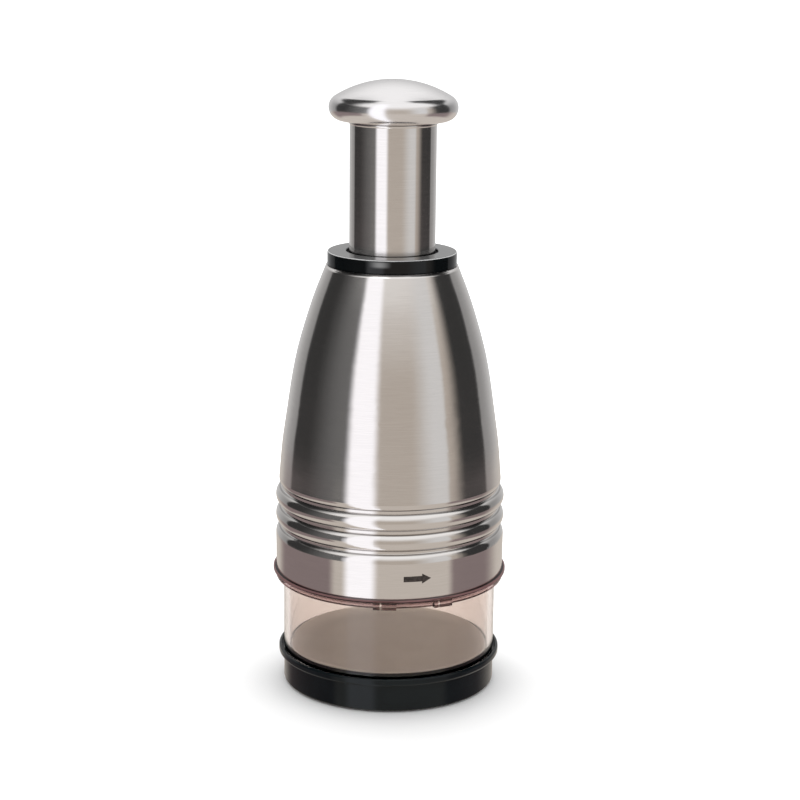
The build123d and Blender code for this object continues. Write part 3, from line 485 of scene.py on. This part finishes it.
def etched_ink():
    """The dark etched arrow."""
    material, tree, skin = principled("etched brown black", IOR=1.4)
    marks = use(tree, MOULDED_SKIN, Fine=6000.0, Broad=900.0)
    tone = span(tree, marks["Tone"], 0.3, 0.7)
    colour = blend_colour(tree, tone, (0.022, 0.016, 0.013, 1.0), (0.05, 0.038, 0.034, 1.0))
    tree.links.new(colour, skin.inputs["Base Color"])
    tree.links.new(span(tree, marks["Height"], 0.3, 0.7, 0.45, 0.6), skin.inputs["Roughness"])
    return material


FINISHES = {
    "brushed_steel": turned_steel(
        "brushed steel", 0.145, 0.025, 4500.0, 0.06, 0.85, (0.82, 0.79, 0.77), folded=True
    ),
    "polished_steel": turned_steel(
        "satin steel", 0.19, 0.02, 6000.0, 0.03, 0.3, (0.89, 0.87, 0.87)
    ),
    "blade_steel": turned_steel("ground steel", 0.25, 0.05, 2500.0, 0.05, 0.0, (0.75, 0.75, 0.75)),
    "spring_steel": turned_steel("drawn wire", 0.3, 0.05, 2500.0, 0.05, 0.0, (0.5, 0.5, 0.5)),
    "fastener_steel": turned_steel("zinc plate", 0.33, 0.05, 2500.0, 0.05, 0.0, (0.62, 0.62, 0.63)),
    "black_plastic": black_moulding("black gloss plastic", 1.34, 0.08, 0.13),
    "white_plastic": pale_moulding("pale satin plastic", (0.70, 0.67, 0.62), (0.78, 0.76, 0.72)),
    "smoke_plastic": smoke_clear(),
    "rubber": soft_rubber(),
}

# Nodes whose finish differs from that of the other nodes of their slot
OWN_FINISH = {
    "bayonet_ring": lip_moulding(),
    "collar_ring": collar_moulding(),
    "chopping_plate": pale_moulding("pale plate plastic", (0.84, 0.80, 0.74), (0.90, 0.87, 0.82)),
}


def dress_cad_nodes():
    """Gives every CAD node its own finish, or that of its material slot."""
    for part in frame["record"]["subparts"]:
        node = frame["nodes"][part["node"]]
        finish = OWN_FINISH.get(part["node"], FINISHES[part["material_slot"]])
        for slot in node.material_slots:
            slot.material = finish


dress_cad_nodes()

# ------------------------------------------------------------------ small pieces


def mesh_piece(name, points, faces, material, smooth=True):
    """A mesh object at the origin."""
    mesh = bpy.data.meshes.new(name)
    mesh.from_pydata(points, [], faces)
    mesh.polygons.foreach_set("use_smooth", [smooth] * len(mesh.polygons))
    mesh.materials.append(material)
    piece = bpy.data.objects.new(name, mesh)
    bpy.context.scene.collection.objects.link(piece)
    return piece


def turned_to_mesh(piece):
    """Replaces a piece's modifiers by the plain mesh that they make."""
    graph = bpy.context.evaluated_depsgraph_get()
    mesh = bpy.data.meshes.new_from_object(piece.evaluated_get(graph))
    piece.modifiers.clear()
    piece.data = mesh
    faces = bmesh.new()
    faces.from_mesh(mesh)
    bmesh.ops.recalc_face_normals(faces, faces=faces.faces)
    faces.to_mesh(mesh)
    faces.free()


def turn_arrow():
    """The arrow as a thin plate that follows the round of the steel band."""
    head_at = ARROW_END - ARROW_HEAD
    steps = range(ARROW_STEPS + 1)
    stations = [ARROW_START + step * (head_at - ARROW_START) / ARROW_STEPS for step in steps]
    halves = [ARROW_SHAFT_H / 2] * len(steps)
    for step in steps:
        stations.append(head_at + step * ARROW_HEAD / ARROW_STEPS)
        halves.append(ARROW_HEAD_H / 2 * (1 - step / ARROW_STEPS) + ARROW_TIP)
    points = []
    for at, half in zip(stations, halves):
        turn = radians(at)
        for radius in (BAND_R - ARROW_SUNK, BAND_R + ARROW_PROUD):
            for z in (ARROW_MIDDLE_Z - half, ARROW_MIDDLE_Z + half):
                points.append((radius * sin(turn), -radius * cos(turn), z))
    faces = []
    for step in range(len(stations) - 1):
        a, b = 4 * step, 4 * step + 4
        faces += [
            (a + 2, b + 2, b + 3, a + 3),
            (a, a + 1, b + 1, b),
            (a + 1, a + 3, b + 3, b + 1),
            (a, b, b + 2, a + 2),
        ]
    last = 4 * len(stations) - 4
    faces += [(0, 2, 3, 1), (last, last + 1, last + 3, last + 2)]
    arrow = mesh_piece("turn_arrow", points, faces, etched_ink(), smooth=False)
    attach(arrow, "housing")


def coil_recipe(wire):
    """Geometry Nodes: a coil with closed ends, swept with round wire."""
    tree = bpy.data.node_groups.new("coil", "GeometryNodeTree")
    tree.interface.new_socket("Geometry", in_out="INPUT", socket_type="NodeSocketGeometry")
    for label in ("Turns", "Coil radius", "Wire radius", "Foot", "Top"):
        tree.interface.new_socket(label, in_out="INPUT", socket_type="NodeSocketFloat")
    tree.interface.new_socket("Geometry", in_out="OUTPUT", socket_type="NodeSocketGeometry")
    given = tree.nodes.new("NodeGroupInput").outputs
    round_wire = add(tree, "GeometryNodeCurvePrimitiveCircle", {
        "Resolution": WIRE_SIDES, "Radius": given["Wire radius"],
    }).outputs[0]
    rings = add(tree, "GeometryNodeCurveSpiral", {
        "Resolution": TURN_STEPS, "Rotations": given["Turns"], "Height": 0.0,
        "Start Radius": given["Coil radius"], "End Radius": given["Coil radius"],
    }).outputs[0]
    along = add(tree, "GeometryNodeSplineParameter").outputs["Factor"]
    one_turn = math(tree, "DIVIDE", 1.0, given["Turns"])
    open_share = math(tree, "MULTIPLY_ADD", one_turn, -2.0, 1.0)
    past_foot = math(tree, "SUBTRACT", along, one_turn)
    opened = math(tree, "DIVIDE", past_foot, open_share, clamp=True)
    wire_width = math(tree, "MULTIPLY", given["Wire radius"], 2.0)
    stacked = math(tree, "MULTIPLY", wire_width, given["Turns"])
    length = math(tree, "SUBTRACT", given["Top"], given["Foot"])
    free = math(tree, "SUBTRACT", math(tree, "SUBTRACT", length, wire_width), stacked)
    rise = math(
        tree, "ADD", math(tree, "MULTIPLY", free, opened),
        math(tree, "MULTIPLY", stacked, along),
    )
    centre = math(tree, "ADD", given["Foot"], given["Wire radius"])
    lift = add(tree, "ShaderNodeCombineXYZ", {2: math(tree, "ADD", rise, centre)}).outputs[0]
    lifted = add(tree, "GeometryNodeSetPosition", {"Geometry": rings, "Offset": lift}).outputs[0]
    swept = add(tree, "GeometryNodeCurveToMesh", {
        "Curve": lifted, "Profile Curve": round_wire, "Fill Caps": True,
    }).outputs[0]
    smooth = add(tree, "GeometryNodeSetShadeSmooth", {"Geometry": swept}).outputs[0]
    solid = add(tree, "GeometryNodeRealizeInstances", {"Geometry": smooth}).outputs[0]
    dressed = add(tree, "GeometryNodeSetMaterial", {"Geometry": solid, "Material": wire}).outputs[0]
    add(tree, "NodeGroupOutput", {"Geometry": dressed})
    return tree


def return_spring():
    """The return spring, made as a plain mesh and hung on the housing."""
    wire = FINISHES["spring_steel"]
    piece = mesh_piece("coil_spring", [], [], wire)
    recipe = coil_recipe(wire)
    modifier = piece.modifiers.new("coil", "NODES")
    modifier.node_group = recipe
    values = {
        "Turns": SPRING_TURNS, "Coil radius": SPRING_R, "Wire radius": WIRE_R,
        "Foot": SPRING_FOOT, "Top": SPRING_TOP,
    }
    for item in recipe.interface.items_tree:
        if item.in_out == "INPUT" and item.name in values:
            modifier[item.identifier] = values[item.name]
    turned_to_mesh(piece)
    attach(piece, "housing")
    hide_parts("return_spring")
    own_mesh(piece)


turn_arrow()
return_spring()

# ------------------------------------------------------------------ camera and light


def camera():
    """The camera in front of the chopper, a little above it."""
    lens = bpy.data.cameras.new("camera")
    lens.lens = CAMERA_LENS
    lens.sensor_width = CAMERA_SENSOR
    eye = bpy.data.objects.new("camera", lens)
    bpy.context.scene.collection.objects.link(eye)
    ahead = Vector((
        -sin(CAMERA_YAW) * cos(CAMERA_PITCH), cos(CAMERA_YAW) * cos(CAMERA_PITCH),
        -sin(CAMERA_PITCH),
    ))
    level = Vector((cos(CAMERA_YAW), sin(CAMERA_YAW), 0.0))
    above = level.cross(ahead)
    right = cos(CAMERA_ROLL) * level + sin(CAMERA_ROLL) * above
    up = cos(CAMERA_ROLL) * above - sin(CAMERA_ROLL) * level
    turned = Matrix((right, up, -ahead)).transposed().to_4x4()
    eye.matrix_world = Matrix.Translation(CAMERA_AT) @ turned
    bpy.context.scene.camera = eye


def panel(tree, heading, studio, sides, fades, reach, tone):
    """A panel standing round the chopper, in degrees: its left and right side, how far it fades
    past each of them, and its foot and top.
    """
    around, height = heading
    (left, right), (left_fade, right_fade), (foot, top) = sides, fades, reach
    share = span(tree, around, left - left_fade, left)
    for edge in (
        span(tree, around, right + right_fade, right),
        span(tree, height, foot - PANEL_SOFT, foot),
        span(tree, height, top + PANEL_SOFT, top),
    ):
        share = math(tree, "MULTIPLY", share, edge)
    return blend_colour(tree, share, studio, (*tone, 1.0))


def studio_world():
    """The studio as the steel mirrors it: a beige wall, a paler table and ceiling, a dark wall
    at each side, and a tall bright card to the left of the camera.
    """
    world = bpy.data.worlds.new("studio")
    world.use_nodes = True
    world.cycles.sampling_method = "NONE"
    tree = world.node_tree
    tree.nodes.clear()
    place = add(tree, "ShaderNodeTexCoord").outputs["Generated"]
    parts = add(tree, "ShaderNodeSeparateXYZ", {0: place}).outputs
    turn = from_front(tree, parts)
    around = math(tree, "MULTIPLY", turn, 180 / pi)
    height = math(tree, "MULTIPLY", math(tree, "ARCSINE", parts[2]), 180 / pi)
    off_front = math(tree, "ABSOLUTE", around)
    back = span(tree, off_front, *BACK_PALE_FROM)
    back_wall = blend_colour(tree, back, grey(BACK_DIM), grey(BACK_PALE))
    wall = blend_colour(tree, span(tree, off_front, *BACK_FROM), (*WALL, 1.0), back_wall)
    studio = blend_colour(tree, span(tree, height, *WALL_FROM), (*TABLE, 1.0), wall)
    studio = blend_colour(tree, span(tree, height, *CEILING_FROM), studio, (*CEILING, 1.0))
    for sides, fades, reach, tone in PANELS:
        studio = panel(tree, (around, height), studio, sides, fades, reach, tone)
    sides, fades, reach, tone = STRIP_BEHIND
    studio = panel(tree, (off_front, height), studio, sides, fades, reach, tone)
    ray = add(tree, "ShaderNodeLightPath").outputs
    seen = math(tree, "ADD", ray["Is Camera Ray"], ray["Is Transmission Ray"], clamp=True)
    soft = blend_colour(tree, span(tree, parts[2], -0.4, 0.9), grey(SOFT_LOW), grey(SOFT_HIGH))
    colour = blend_colour(tree, ray["Is Glossy Ray"], soft, studio)
    colour = blend_colour(tree, seen, colour, grey(1.0))
    background = add(tree, "ShaderNodeBackground", {"Color": colour, "Strength": 1.0})
    add(tree, "ShaderNodeOutputWorld", {"Surface": background.outputs[0]})
    bpy.context.scene.world = world


def soft_box(name, place, size, power):
    """An area lamp aimed at the middle of the chopper."""
    lamp = bpy.data.lights.new(name, "AREA")
    lamp.shape = "RECTANGLE"
    lamp.size, lamp.size_y = size
    lamp.energy = power
    stand = bpy.data.objects.new(name, lamp)
    bpy.context.scene.collection.objects.link(stand)
    stand.location = place
    aim = Vector(LAMP_AIM) - stand.location
    stand.rotation_mode = "QUATERNION"
    stand.rotation_quaternion = aim.to_track_quat("-Z", "Y")
    stand.visible_glossy = False
    stand.visible_transmission = False
    return stand


def collar_card():
    """A small card beside the collar ring, bright in its middle; only mirrors see it."""
    material = bpy.data.materials.new("lit card")
    material.use_nodes = True
    tree = material.node_tree
    tree.nodes.clear()
    place = add(tree, "ShaderNodeTexCoord").outputs["Object"]
    parts = add(tree, "ShaderNodeSeparateXYZ", {0: place}).outputs
    turn = from_front(tree, parts)
    off = math(tree, "ABSOLUTE", math(tree, "SUBTRACT", turn, radians(COLLAR_CARD_AT)))
    across = span(tree, off, radians(COLLAR_CARD_SPAN / 2), 0.0)
    low, high = COLLAR_CARD_Z
    rise = span(tree, parts[2], low, low + COLLAR_CARD_FADE)
    fall = span(tree, parts[2], high, high - COLLAR_CARD_FADE)
    share = math(tree, "MULTIPLY", math(tree, "MULTIPLY", rise, fall), across)
    glow = add(tree, "ShaderNodeEmission", {"Strength": COLLAR_CARD_LEVEL}).outputs[0]
    clear = add(tree, "ShaderNodeBsdfTransparent").outputs[0]
    mixed = add(tree, "ShaderNodeMixShader", {0: share, 1: clear, 2: glow}).outputs[0]
    add(tree, "ShaderNodeOutputMaterial", {"Surface": mixed})
    middle = radians(COLLAR_CARD_AT)
    half = COLLAR_CARD_OUT * radians(COLLAR_CARD_SPAN / 2)
    points = []
    for along, z in ((-half, low), (half, low), (half, high), (-half, high)):
        x = COLLAR_CARD_OUT * sin(middle) + along * cos(middle)
        y = -COLLAR_CARD_OUT * cos(middle) + along * sin(middle)
        points.append((x, y, z))
    card = mesh_piece("collar_card", points, [(0, 1, 2, 3)], material, smooth=False)
    card.visible_camera = card.visible_diffuse = card.visible_shadow = False
    card.visible_transmission = False


def white_floor():
    """The white table top: it keeps the soft shadow, shows white elsewhere, and is clear when
    seen from below.
    """
    material, tree, skin = principled("white table", Roughness=0.6)
    skin.inputs["Specular IOR Level"].default_value = 0.0
    mottle = add(tree, "ShaderNodeTexNoise", {"Scale": 8.0, "Detail": 2.0}).outputs[0]
    colour = blend_colour(tree, mottle, grey(0.86), grey(0.88))
    tree.links.new(colour, skin.inputs["Base Color"])
    ray = add(tree, "ShaderNodeLightPath").outputs
    place = add(tree, "ShaderNodeTexCoord").outputs["Object"]
    away = add(tree, "ShaderNodeVectorMath", {0: place}, operation="LENGTH").outputs["Value"]
    glow = span(tree, away, FLOOR_NEAR, FLOOR_FAR, FLOOR_LIFT, FLOOR_FAR_LIFT)
    lift = math(tree, "MULTIPLY", ray["Is Camera Ray"], glow)
    skin.inputs["Emission Color"].default_value = grey(1.0)
    tree.links.new(lift, skin.inputs["Emission Strength"])
    below = add(tree, "ShaderNodeNewGeometry").outputs["Backfacing"]
    from_below = math(tree, "MULTIPLY", below, ray["Is Camera Ray"])
    clear_for(tree, skin, from_below, grey(1.0))
    corners = [
        (x * FLOOR_REACH, y * FLOOR_REACH, 0.0) for x, y in ((-1, -1), (1, -1), (1, 1), (-1, 1))
    ]
    floor = mesh_piece("table_top", corners, [(0, 1, 2, 3)], material, smooth=False)
    floor.visible_glossy = False


camera()
studio_world()
soft_box("key softbox", KEY_AT, KEY_SIZE, KEY_POWER)
soft_box("fill softbox", FILL_AT, FILL_SIZE, FILL_POWER)
white_floor()
collar_card()

scene = bpy.context.scene
scene.view_settings.view_transform = "Standard"
